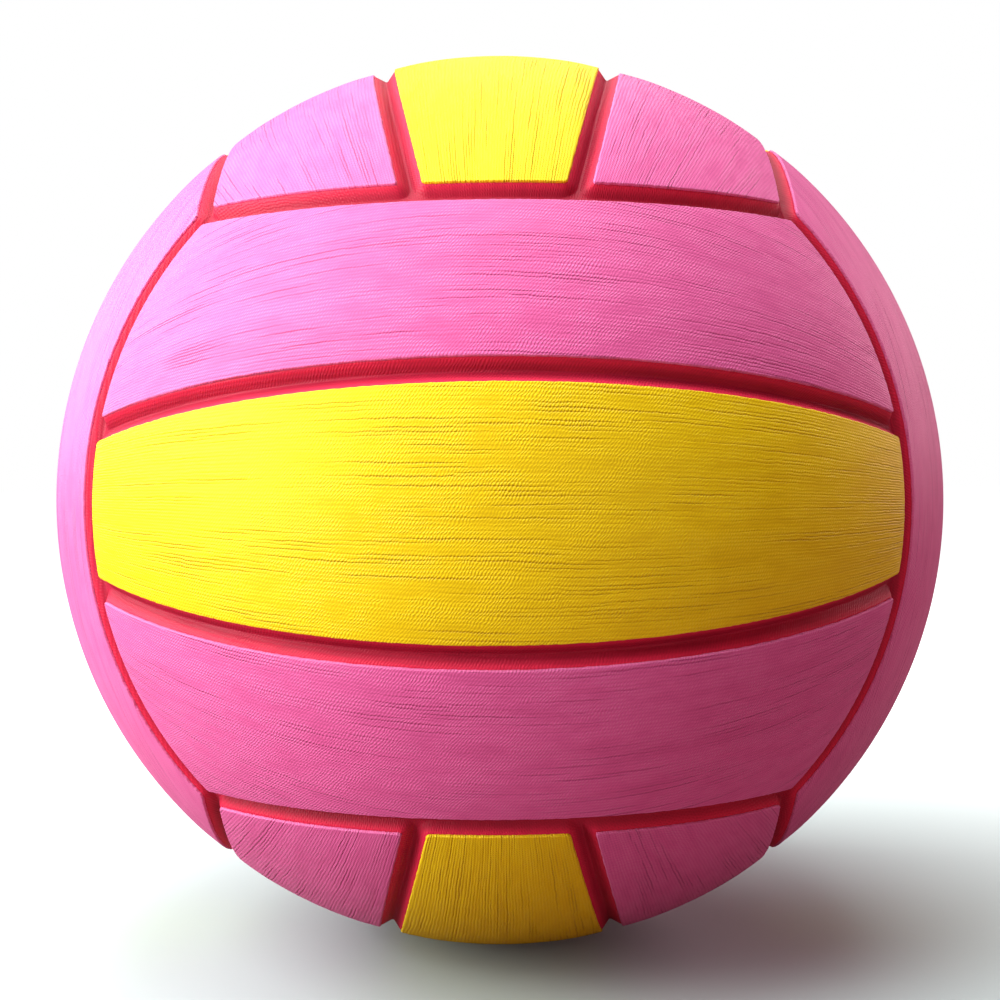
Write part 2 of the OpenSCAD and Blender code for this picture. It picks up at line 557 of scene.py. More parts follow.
def stations(length: float, fine: float, coarse: float, zone: float) -> np.ndarray:
    """Places from -1 to 1 along a side, close together near both ends and further apart between.

    Args:
        length: length of the side.
        fine: spacing near the ends.
        coarse: spacing in the middle.
        zone: length of each close stretch.

    Returns:
        Places in rising order, the same from both ends.
    """
    near = np.linspace(0, zone, int(round(zone / fine)), endpoint=False)
    middle_count = max(int(round((length - 2 * zone) / coarse)), 2)
    middle = np.linspace(zone, length - zone, middle_count + 1)
    places = np.concatenate([near, middle, length - near[::-1]])
    return places / length * 2 - 1


@dataclass(frozen=True)
class StripTexture:
    """The raised and sunken streaks that run along a strip, as heights on the strip's own plane.

    Each cell is a noise's size along and across the strip. The groove's width and the two zones are
    heights of their noises.
    """

    groove_depth: float = 0.05 * MM
    groove_width: float = 0.16
    groove_cell: Pair = (30.0 * MM, 1.9 * MM)
    fine_scale: float = 0.6
    fine_share: float = 0.35
    fine_zone: Pair = (0.1, 0.9)
    bend: float = 1.3 * MM
    bend_cell: Pair = (40 * MM, 14 * MM)
    patch_cell: Pair = (30 * MM, 9 * MM)
    patch_zone: Pair = (-0.5, 0.5)
    swell: float = 0.03 * MM
    swell_cell: Pair = (22 * MM, 3.2 * MM)

    def heights(self, uv: np.ndarray, seed: int) -> np.ndarray:
        """Heights of the streaks, from 0 down to about the groove depth.

        A groove lies where stretched noise comes near zero, as exp(-(noise / width)^2), so it is a thin
        wandering line. A second, finer noise adds hollows between the lines, and a broader one soft
        swells.

        Args:
            uv: places on the strip's plane.
            seed: number that fixes the noises.

        Returns:
            One height for each place.
        """
        along, across = uv[..., 0], uv[..., 1]

        def noise(cell: Pair, step: int, bend: np.ndarray | float = 0.0) -> np.ndarray:
            """Noise of one cell size, bent across the strip."""
            return value_noise(along / cell[0], (across + bend) / cell[1], seed + step)

        bend = self.bend * noise(self.bend_cell, 0)
        line = noise(self.groove_cell, 1, bend)
        fine = noise(tuple(self.fine_scale * size for size in self.groove_cell), 2, bend)
        patch = smooth_step(*self.patch_zone, noise(self.patch_cell, 3))
        groove = np.exp(-(line / self.groove_width) ** 2) * patch
        hollow = smooth_step(*self.fine_zone, fine)
        grooves = (1 - self.fine_share) * groove + self.fine_share * hollow
        return -self.groove_depth * grooves - self.swell * (noise(self.swell_cell, 4) + 1) / 2


@dataclass
class PanelBuilder:
    """Builds one coloured panel: a crowned patch of the ball with streaks, an edge and an underside."""

    cell: StripCell
    material: bpy.types.Material
    seed: int
    with_valve: bool = False
    edge_angle: float = 74.0
    edge_r: float = 0.25 * MM
    edge_steps: int = 6
    flat_rings: tuple[float, ...] = (1.75 * MM, 1.3 * MM, 0.9 * MM, 0.6 * MM)
    rim_zone: float = 2.2 * MM
    crown_zone: float = 9.0 * MM
    streak_zone: Pair = (0.3 * MM, 3.5 * MM)
    ragged: float = 0.12 * MM
    ragged_zone: Pair = (1.1 * MM, 0.1 * MM)
    tuck: float = 0.8 * MM
    under_rings: int = 12
    under_last: float = 0.04
    hole_columns: int = 7
    hole_rows: int = 14
    hole_bevel: float = 0.05 * MM
    hole_edge_points: int = 5
    hole_under_share: float = 0.5
    hole_top_shares: Triple = (0.8, 0.5, 0.2)
    hole_streak_shares: Triple = (0.3, 0.7, 0.95)
    centre_reach: Pair = (193 * MM, 47 * MM)
    outer_reach: Pair = (160 * MM, 36 * MM)
    along_spacing: Triple = (0.4 * MM, 0.85 * MM, 2 * MM)
    across_spacing: Triple = (0.3 * MM, 0.42 * MM, 1.5 * MM)
    texture: StripTexture = field(default_factory=StripTexture)

    def profile(self) -> tuple[np.ndarray, np.ndarray]:
        """Rings of the rim, from the flat top over the rounded edge and down to the underside.

        On the rounded edge, at the angle a, the distance is end + r (sin(wall) - sin(a)) and the depth
        is r (1 - cos(a)).

        Returns:
            The rings' distances inwards from the wall's foot, and their depths.
        """
        panel_t = self.cell.sizes.panel_t
        wall = np.radians(self.edge_angle)
        arc = wall * np.arange(self.edge_steps + 1) / self.edge_steps
        arc_depth = self.edge_r * (1 - np.cos(arc))
        arc_end = (panel_t - arc_depth[-1]) / np.tan(wall)
        arc_distance = arc_end + self.edge_r * (np.sin(wall) - np.sin(arc))
        foot = [arc_end / 2, 0.0, self.cell.sizes.lap]
        foot_depth = [(panel_t + arc_depth[-1]) / 2, panel_t, panel_t]
        distance = np.concatenate([self.flat_rings, arc_distance, foot])
        return distance, np.concatenate([np.zeros(len(self.flat_rings)), arc_depth, foot_depth])

    def surface(self, points: np.ndarray, depth: np.ndarray | float,
                textured: np.ndarray | float = 1.0) -> tuple[np.ndarray, np.ndarray, np.ndarray]:
        """Vertices of the panel's outer side over points of the unit sphere.

        The radius is the ball's, less the depth, less a crown that drops towards the wall as
        (1 - distance / zone)^2, plus the streaks, which fade out at the rim.

        Args:
            points: unit vectors in the front face.
            depth: depth of each point under the ball's surface.
            textured: share of the streaks that each point gets.

        Returns:
            The vertices, their places on the strip's plane and their distances from the wall.
        """
        sizes = self.cell.sizes
        distance, _ = self.cell.wall_distance(points)
        uv = strip_plane(points, sizes.ball_r)
        crown = sizes.crown_drop * np.clip(1 - distance / self.crown_zone, 0, 1) ** 2
        fade = smooth_step(*self.streak_zone, distance)
        streaks = self.texture.heights(uv, self.seed) * fade * textured
        radius = sizes.ball_r - depth - crown + streaks
        return points * radius[..., None], uv, distance

    def build(self) -> bpy.types.Object:
        """Makes the panel as one closed mesh.

        A grid covers the top, and rings lead from its border over the edge to the underside. There more
        rings close in on the middle, or a second grid carries the valve hole.

        Returns:
            The panel.
        """
        along, across = np.meshgrid(*self.station_lists())
        inset = self.cell.sizes.wall_inset
        work = Patchwork()
        top = work.add(*self.surface(self.cell.points(along, across, inset + self.rim_zone), 0.0))
        loop = loop_indices(np.arange(along.size).reshape(along.shape))
        border_along = along.ravel()[loop]
        border_across = across.ravel()[loop]

        distance, depth = self.profile()
        uneven = np.random.default_rng(self.seed).uniform(0, self.ragged, len(loop))
        target = distance[:, None] + uneven * smooth_step(*self.ragged_zone, distance)[:, None]
        rim_points = self.cell.points(border_along, border_across, (inset + distance)[:, None])
        rim = work.add(*self.surface(self.cell.settle(rim_points, target), depth[:, None]))
        work.bridge(np.concatenate([loop_indices(top)[None], rim]))

        if self.with_valve:
            under = self.add_under(work, self.cell.points(along, across, inset + self.tuck))
            work.bridge(np.stack([rim[-1], loop_indices(under)]))
            self.add_hole(work, top, under)
        else:
            work.quads.append(grid_quads(top))
            shrink = np.linspace(1, self.under_last, self.under_rings + 1)[1:, None]
            under_points = self.cell.points(border_along * shrink, border_across * shrink,
                                            inset + self.tuck)
            under = self.add_under(work, under_points)
            pole = self.add_under(work, self.cell.points(np.zeros(1), np.zeros(1), inset))
            work.bridge(np.concatenate([rim[-1:], under]))
            work.fan(under[-1], pole[0])
        shift = np.random.default_rng(self.seed + 1).uniform(-1, 1, 2)
        work.uv = [uv + shift for uv in work.uv]
        return work.mesh(self.cell, EDGE_NAME).build(self.cell.name + "_skin", self.material)

    def add_under(self, work: Patchwork, points: np.ndarray) -> np.ndarray:
        """Adds vertices of the underside and returns their indices."""
        sizes = self.cell.sizes
        return work.add(points * (sizes.ball_r - sizes.panel_t), strip_plane(points, sizes.ball_r), 0.0)

    def add_hole(self, work: Patchwork, top: np.ndarray, under: np.ndarray) -> None:
        """Adds both sides of the panel with the valve hole cut through their middle.

        Rings run from a block of the underside's grid in to the hole, up its wall, over its rounded
        edge, and out to the same block of the top's grid.

        Args:
            work: the panel's patches.
            top: indices of the top's grid.
            under: indices of the underside's grid.
        """
        sizes = self.cell.sizes
        rows, columns = (size // 2 for size in top.shape)
        block = (slice(rows - self.hole_rows, rows + self.hole_rows + 1),
                 slice(columns - self.hole_columns, columns + self.hole_columns + 1))
        work.quads.append(grid_quads(top, block))
        work.quads.append(grid_quads(under, block)[:, ::-1])
        top_loop = loop_indices(top[block])
        under_loop = loop_indices(under[block])
        points = unit(np.concatenate(work.vertices)[top_loop])

        hole_r, panel_t, bevel = sizes.valve_hole_r, sizes.panel_t, self.hole_bevel
        edge_turn = np.radians(np.linspace(90, 0, self.hole_edge_points))
        edge_r = hole_r + sizes.hole_edge * (1 - np.sin(edge_turn))
        edge_depth = sizes.hole_edge * (1 - np.cos(edge_turn))
        wall = np.ones(2 + len(edge_turn))
        around = np.ones(len(self.hole_top_shares))
        share = np.array([self.hole_under_share, *wall, *self.hole_top_shares])
        circle_r = np.array([hole_r, hole_r + bevel, hole_r, *edge_r, *edge_r[-1] * around])
        depth = np.array([panel_t, panel_t, panel_t - bevel, *edge_depth, *0 * around])
        textured = np.array([0, *0 * wall, *self.hole_streak_shares])
        rings = ring_blend(points, share, circle_r / sizes.ball_r)
        indices = work.add(*self.surface(rings, depth[:, None], textured[:, None]))
        work.bridge(np.concatenate([under_loop[None], indices, top_loop[None]]))

    def station_lists(self) -> tuple[np.ndarray, np.ndarray]:
        """Places of the grid's columns and rows."""
        length, width = self.centre_reach if self.cell.strip is Strip.CENTRE else self.outer_reach
        return stations(length, *self.along_spacing), stations(width, *self.across_spacing)


@dataclass
class CoverBuilder:
    """Builds the red under-cover: the channels, the lands under the panels and the inside."""

    material: bpy.types.Material
    sizes: BallSizes = field(default_factory=BallSizes)
    floor_half: float = 0.4 * MM
    floor_rings: int = 5
    flank_rings: int = 7
    land_shares: tuple[float, ...] = (0.97, 0.75, 0.5, 0.25)
    end_count: int = 32
    centre_count: int = 44
    gathered_share: float = 0.55
    even_share: float = 0.45
    place_digits: int = 9
    seam_tolerance: float = 1e-6
    weld: float = 2e-6
    hole_flares: tuple[float, ...] = (1, 1.02, 1, 1)
    hole_shares: tuple[float, ...] = (0.5, 1, 1, 1)
    near_turns: tuple[float, int] = (0.4, 6)
    far_turns: tuple[float, float, int] = (0.5, np.pi - 0.02, 34)

    def end_stations(self, strip: Strip) -> np.ndarray:
        """Places across a strip's end, closer together near its corners.

        They are a mix of even places e and gathered ones, sin(e pi / 2).

        Args:
            strip: the strip.

        Returns:
            Places from -1 to 1.
        """
        count = self.centre_count if strip is Strip.CENTRE else self.end_count
        even = np.linspace(-1, 1, count + 1)
        return np.sin(even * np.pi / 2) * self.gathered_share + even * self.even_share

    def long_stations(self) -> np.ndarray:
        """Places along a strip's long side that match the ends of the three strips it meets.

        Returns:
            Places from -1 to 1.
        """
        turns = []
        for strip in Strip:
            cell = StripCell(Face.TOP, strip, self.sizes)
            across = self.end_stations(strip)
            ends = np.concatenate([cell.place(cell.points(np.full(len(across), side), across, 0.0))
                                   for side in (-1.0, 1.0)])
            turns.append(self.seam_turns(ends))
        places = np.unique(np.round(np.concatenate(turns), self.place_digits))
        return places / places.max()

    def seam_turns(self, points: np.ndarray) -> np.ndarray:
        """Turns about the front-top seam's axis of those points that lie on that seam.

        Args:
            points: unit vectors.

        Returns:
            The turns in radians, one for each point on the seam.
        """
        tilt = np.radians(self.sizes.face_tilt)
        axis = np.array([0, np.sin(tilt), np.cos(tilt)])
        front = np.array([0, -np.cos(tilt), np.sin(tilt)])
        height = np.sin(np.radians(self.sizes.face_latitude))
        on_seam = np.abs(points @ axis - height) < self.seam_tolerance
        on_seam &= points @ front > 0
        chosen = points[on_seam]
        return np.arctan2(chosen[:, 0], chosen @ front)

    def profile(self) -> tuple[np.ndarray, np.ndarray]:
        """Rings from a channel's middle up its side to the lip beside the panel and on to the land.

        The floor is a parabola that meets the straight side with the side's own slope.

        Returns:
            The rings' distances inwards from the wall's foot, and their depths.
        """
        sizes = self.sizes
        inset = sizes.wall_inset
        slope = sizes.flank_slope
        floor = np.linspace(0, 1, self.floor_rings) * self.floor_half
        flank = np.linspace(self.floor_half, inset, self.flank_rings)[1:]
        flank_depth = sizes.panel_t + (inset - flank) * slope
        floor_edge = sizes.panel_t + (inset - self.floor_half) * slope
        floor_depth = floor_edge + self.floor_half * slope / 2 * (1 - (floor / self.floor_half) ** 2)
        distance = np.concatenate([floor - inset, flank - inset, [sizes.lap]])
        depth = np.concatenate([floor_depth, flank_depth, [sizes.panel_t + sizes.bond_gap]])
        return distance, depth + sizes.crown_drop

    def build(self) -> bpy.types.Object:
        """Makes the under-cover as one closed mesh, with the valve hole and the wall of its inside.

        Returns:
            The under-cover.
        """
        meshes = [self.cell_mesh(StripCell(face, strip, self.sizes)) for face in Face for strip in Strip]
        first = np.cumsum([0] + [len(mesh.vertices) for mesh in meshes[:-1]])
        quads = np.concatenate([mesh.quads + start for mesh, start in zip(meshes, first)])
        triangles = np.concatenate([mesh.triangles + start for mesh, start in zip(meshes, first)])
        depths = np.concatenate([mesh.values[DEPTH_NAME] for mesh in meshes])
        cover = Mesh(np.concatenate([mesh.vertices for mesh in meshes]), quads, triangles,
                     np.concatenate([mesh.uv for mesh in meshes]), {DEPTH_NAME: depths})
        return cover.build("under_cover_skin", self.material, weld=self.weld)

    def cell_mesh(self, cell: StripCell) -> Mesh:
        """Builds the part of the under-cover in one cell, from the channels' middles inwards.

        The rings run down to the bottom of the channel's side, up it and in over the land. There they
        close, but in the valve's cell they go on through the valve hole and round the ball's inside.

        Args:
            cell: the strip's cell.

        Returns:
            The cell's own mesh, in its place.
        """
        grid_along, grid_across = np.meshgrid(self.long_stations(), self.end_stations(cell.strip))
        loop = loop_indices(np.arange(grid_along.size).reshape(grid_along.shape))
        along = grid_along.ravel()[loop]
        across = grid_across.ravel()[loop]
        distance, depth = self.profile()
        inset = self.sizes.wall_inset
        points = cell.points(along, across, (inset + distance)[:, None])
        points[1:] = cell.settle(points[1:], distance[1:, None])
        shrink = np.array(self.land_shares)[:, None]
        land = cell.points(along * shrink, across * shrink, inset + distance[-1])
        points = np.concatenate([points, land])
        depth = np.concatenate([depth, np.full(len(shrink), depth[-1])])
        if cell.face is Face.BACK and cell.strip is Strip.CENTRE:
            hole, hole_depth = self.hole_rings(points[-1], depth[-1])
            points = np.concatenate([points, hole])
            depth = np.concatenate([depth, hole_depth])
            pole = np.array([0.0, 1.0, 0.0])
        else:
            pole = cell.points(np.zeros(1), np.zeros(1), 0.0)[0]
        work = Patchwork()
        rings = work.add(points * (self.sizes.ball_r - depth)[:, None, None],
                         strip_plane(points, self.sizes.ball_r), depth[:, None])
        end = work.add(pole[None] * (self.sizes.ball_r - depth[-1]), np.zeros((1, 2)), depth[-1:])
        work.bridge(rings[:, ::-1])
        work.fan(rings[-1, ::-1], end[0])
        return work.mesh(cell, DEPTH_NAME)

    def hole_rings(self, loop: np.ndarray, land_depth: float) -> tuple[np.ndarray, np.ndarray]:
        """Rings of the valve hole and of the inner wall.

        The inner wall is a sphere. Its rings lie at even turns from the hole's axis, close together
        near the hole and further apart round the rest: near_turns holds the last turn and the number of
        the close ones, far_turns the first turn, the last and the number of the others.

        Args:
            loop: the innermost ring on the land, as unit vectors.
            land_depth: depth of the land.

        Returns:
            The rings as unit vectors, and their depths.
        """
        sizes = self.sizes
        hole_share = sizes.valve_hole_r / sizes.ball_r
        in_depth = sizes.ball_r - sizes.cover_in_r
        polar = np.concatenate([np.linspace(np.arcsin(hole_share), *self.near_turns),
                                np.linspace(*self.far_turns)])
        flat = unit(loop[:, [0, 2]])
        inside = np.stack([np.sin(polar)[:, None] * flat[:, 0],
                           np.repeat(-np.cos(polar)[:, None], len(loop), 1),
                           np.sin(polar)[:, None] * flat[:, 1]], -1)
        outside = ring_blend(loop, self.hole_shares, np.array(self.hole_flares) * hole_share)
        outside_depth = [land_depth, land_depth, land_depth + sizes.bond_gap, in_depth]
        depth = np.concatenate([outside_depth, np.full(len(polar) - 1, in_depth)])
        return np.concatenate([outside, inside[1:]]), depth


@dataclass
class PlugBuilder:
    """Builds the soft valve plug, turned about +Y: head, stem and bulb, with the needle passage."""

    material: bpy.types.Material
    sizes: BallSizes = field(default_factory=BallSizes)
    count: int = 72
    corner_points: int = 6
    head_r: float = 3.25 * MM
    head_top: float = 104.48 * MM
    stem_r: float = 2.3 * MM
    bulb_r: float = 3.4 * MM
    bulb_top: float = 90.05 * MM
    bulb_l: float = 3.0 * MM
    needle_r: float = 1.0 * MM
    lead_in: float = 0.6 * MM
    passage_end: float = 96.5 * MM

    def outline(self) -> tuple[np.ndarray, np.ndarray]:
        """Corners of the plug's outline, from the foot of the bulb round to the passage's end.

        Returns:
            Radius and height of each corner, and how far each corner between the first and the last is
            rounded.
        """
        head_foot = self.sizes.cover_in_r
        foot = self.bulb_top - self.bulb_l
        corners = ((0, foot, 0.0), (self.stem_r, foot, 0.3), (self.bulb_r, foot + self.bulb_l / 2, 0.6),
                   (self.bulb_r, self.bulb_top, 0.4), (self.stem_r, self.bulb_top, 0.2),
                   (self.stem_r, head_foot, 0.2), (self.head_r, head_foot, 0.3),
                   (self.head_r, self.head_top, 0.5), (self.needle_r + self.lead_in, self.head_top, 0.3),
                   (self.needle_r, self.head_top - self.lead_in, 0.3),
                   (self.needle_r, self.passage_end, 0.2), (0, self.passage_end, 0.0))
        table = np.array(corners)
        return table[:, :2], table[1:-1, 2:] * MM

    def build(self) -> bpy.types.Object:
        """Makes the plug by turning its outline, with each corner rounded.

        A rounded corner is the curve (1-t)^2 A + 2 t (1-t) P + t^2 B, where A and B lie a short way
        from the corner P on its two sides.

        Returns:
            The plug.
        """
        corners, cuts = self.outline()
        middle = corners[1:-1]
        start = middle + unit(corners[:-2] - middle) * cuts
        end = middle + unit(corners[2:] - middle) * cuts
        share = np.linspace(0, 1, self.corner_points)[:, None]
        curve = ((1 - share) ** 2 * start[:, None] + 2 * share * (1 - share) * middle[:, None]
                 + share ** 2 * end[:, None]).reshape(-1, 2)
        turn = 2 * np.pi * np.arange(self.count) / self.count
        vertices = np.stack([curve[:, :1] * np.cos(turn), np.repeat(curve[:, 1:], self.count, 1),
                             curve[:, :1] * np.sin(turn)], -1)
        poles = np.array([[0, corners[0, 1], 0], [0, corners[-1, 1], 0]])
        work = Patchwork()
        rings = work.add(vertices, vertices[..., [0, 2]], 0.0)
        ends = work.add(poles, np.zeros((2, 2)), 0.0)
        work.bridge(rings)
        work.fan(rings[-1], ends[1])
        work.fan(rings[0, ::-1], ends[0])
        mesh = Mesh(np.concatenate(work.vertices), np.concatenate(work.quads),
                    np.concatenate(work.triangles))
        return mesh.build("valve_plug_skin", self.material)


class Nodes:
    """A small helper that adds shader nodes and joins them."""

    def __init__(self, owner: bpy.types.Material | bpy.types.World) -> None:
        """Starts from an empty node tree.

        Args:
            owner: the material or the world that gets the nodes.
        """
        owner.use_nodes = True
        self.tree = owner.node_tree
        self.tree.nodes.clear()

    def add(self, kind: str, settings: dict | None = None, **inputs: object) -> bpy.types.Node:
        """Adds a node.

        Args:
            kind: the node's type without its ShaderNode prefix.
            settings: values for the node's own properties.
            inputs: a value or a socket for each named input, with _ for a space.

        Returns:
            The node.
        """
        node = self.tree.nodes.new("ShaderNode" + kind)
        for key, value in (settings or {}).items():
            setattr(node, key, value)
        for key, value in inputs.items():
            self.plug(node, key.replace("_", " "), value)
        return node

    def plug(self, node: bpy.types.Node, key: str | int, value: object) -> None:
        """Joins a socket to a node's input, or sets the input to a plain value.

        Args:
            node: the node.
            key: name or place of the input.
            value: a socket or a plain value.
        """
        socket = node.inputs[key]
        if isinstance(value, Socket):
            self.tree.links.new(value, socket)
        else:
            socket.default_value = value

    def math(self, operation: str, *values: object) -> Socket:
        """Adds a Math node.

        Args:
            operation: the node's operation.
            values: a value or a socket for each input, in order.

        Returns:
            The node's result.
        """
        node = self.add("Math", {"operation": operation})
        for index, value in enumerate(values):
            self.plug(node, index, value)
        return node.outputs[0]

    def times(self, first: object, second: object) -> Socket:
        """Product of two values or sockets."""
        return self.math("MULTIPLY", first, second)

    def mix(self, factor: object, first: object, second: object) -> Socket:
        """Adds a colour Mix node.

        Args:
            factor: share of the second colour.
            first: the first colour.
            second: the second colour.

        Returns:
            The mixed colour.
        """
        node = self.add("Mix", {"data_type": "RGBA", "blend_type": "MIX"})
        for index, value in ((0, factor), (6, first), (7, second)):
            self.plug(node, index, value)
        return node.outputs[2]

    def ramp(self, value: Socket, low: float, high: float) -> Socket:
        """Share of a value between two limits, from 0 to 1, smoothed at both ends.

        Args:
            value: the value.
            low: limit at which the share is 0.
            high: limit at which it is 1, which may be the lower of the two.

        Returns:
            The share.
        """
        node = self.add("MapRange", {"interpolation_type": "SMOOTHSTEP"}, Value=value)
        self.plug(node, "From Min", low)
        self.plug(node, "From Max", high)
        return node.outputs[0]

    def portion(self, value: Socket, zone: Pair, share: float) -> Socket:
        """Share of a colour that a value gives: none at the zone's first limit, all at its second."""
        return self.times(self.ramp(value, *zone), share)

    def noise(self, vector: Socket, scale: float, detail: float) -> Socket:
        """Adds a Noise Texture and returns its value."""
        return self.add("TexNoise", Vector=vector, Scale=scale, Detail=detail).outputs[0]

    def patches(self, plane: Socket, size: Pair, detail: float) -> Socket:
        """Noise whose features have a given length along the strip and width across it."""
        return self.noise(self.stretched(plane, size), 1.0, detail)

    def stretched(self, plane: Socket, size: Pair) -> Socket:
        """Coordinates on the strip's plane, divided by a feature's length and width."""
        return self.vector_math("MULTIPLY", plane, (1 / size[0], 1 / size[1], 1.0)).outputs[0]

    def wave(self, vector: Socket, rate: Pair) -> Socket:
        """Sine wave over the strip's plane.

        Args:
            vector: coordinates on the plane.
            rate: number of turns for each metre along and across the strip.

        Returns:
            The wave's height, from 0 to 1.
        """
        turns = tuple(2 * np.pi * each for each in (*rate, 0))
        phase = self.vector_math("DOT_PRODUCT", vector, turns).outputs["Value"]
        return self.math("MULTIPLY_ADD", self.math("SINE", phase), 0.5, 0.5)

    def pushed(self, plane: Socket, size: Pair, reach: Pair) -> Socket:
        """Coordinates on the strip's plane, pushed about by noise.

        Args:
            plane: the coordinates, in metres.
            size: length and width of the noise's features.
            reach: push between the noise's low and high, along and across the strip.

        Returns:
            The pushed coordinates.
        """
        noise = self.add("TexNoise", Vector=self.stretched(plane, size), Scale=1.0, Detail=1.0)
        push = self.vector_math("MULTIPLY", noise.outputs["Color"], (*reach, 0)).outputs[0]
        return self.vector_math("ADD", plane, push).outputs[0]

    def vector_math(self, operation: str, first: object, second: object) -> bpy.types.Node:
        """Adds a Vector Math node.

        Args:
            operation: the node's operation.
            first: the first vector or socket.
            second: the second vector or socket.

        Returns:
            The node.
        """
        node = self.add("VectorMath", {"operation": operation})
        self.plug(node, 0, first)
        self.plug(node, 1, second)
        return node

    def rubber(self, colour: Socket, roughness: object, height: Socket, relief: float) -> bpy.types.Node:
        """Adds a rubber's shader.

        Args:
            colour: colour of the surface.
            roughness: its roughness, as a value or a socket.
            height: height of its grain, from 0 to 1.
            relief: depth of the grain.

        Returns:
            The shader.
        """
        bump = self.add("Bump", Strength=1.0, Distance=relief, Height=height).outputs[0]
        return self.add("BsdfPrincipled", Base_Color=colour, Roughness=roughness, Normal=bump)

    def finish(self, shader: bpy.types.Node, output: str = "OutputMaterial") -> None:
        """Joins the shader to the surface of the material or the world."""
        self.tree.links.new(shader.outputs[0], self.add(output).inputs["Surface"])


def linear(red: int, green: int, blue: int) -> Colour:
    """Scene colour of a screen colour, by the screen's own curve.

    Args:
        red: red part, from 0 to 255.
        green: green part.
        blue: blue part.

    Returns:
        The colour, with full cover as its last part.
    """
    parts = np.array([red, green, blue]) / 255
    values = np.where(parts <= 0.04045, parts / 12.92, ((parts + 0.055) / 1.055) ** 2.4)
    return (*[float(value) for value in values], 1.0)


@dataclass(frozen=True)
class PebbledGrain:
    """Fine grain of pebbles in rows along the strip.

    One wave across the strip makes the rows. A second along it, which is set on from row to row, cuts
    each row into pebbles. A fine push makes them uneven, and a broad noise fades them in places. The
    push is given in pebbles, and each rate in turns for one pebble, along and across the strip.
    """

    pebble: float = 0.62 * MM
    push_size: Pair = (4.0, 2.5)
    push_reach: Pair = (1.4, 0.8)
    row_rate: Pair = (0.02, 0.76)
    dot_rate: Pair = (0.95, -0.7)
    row_relief: float = 0.55
    dot_relief: float = 0.65
    fade_size: Pair = (9 * MM, 4 * MM)
    fade_zone: Pair = (0.3, 0.62)
    fade_share: float = 0.55

    def build(self, nodes: Nodes, plane: Socket) -> tuple[Socket, Socket, Socket]:
        """Adds the grain's nodes.

        Args:
            nodes: the material's nodes.
            plane: places on the strip's plane.

        Returns:
            The grain's height, the rows and the pebbles in them, each from 0 to 1.
        """
        size, reach = (tuple(length * self.pebble for length in pair)
                       for pair in (self.push_size, self.push_reach))
        uneven = nodes.pushed(plane, size, reach)
        row, dot = (nodes.wave(uneven, tuple(turns / self.pebble for turns in rate))
                    for rate in (self.row_rate, self.dot_rate))
        pebbles = nodes.times(nodes.math("MULTIPLY_ADD", row, self.row_relief, 1 - self.row_relief),
                              nodes.math("MULTIPLY_ADD", dot, self.dot_relief, 1 - self.dot_relief))
        fade = nodes.ramp(nodes.patches(plane, self.fade_size, 2.0), *self.fade_zone)
        faded = nodes.math("MULTIPLY_ADD", fade, self.fade_share, 1 - self.fade_share)
        return nodes.times(pebbles, faded), row, dot


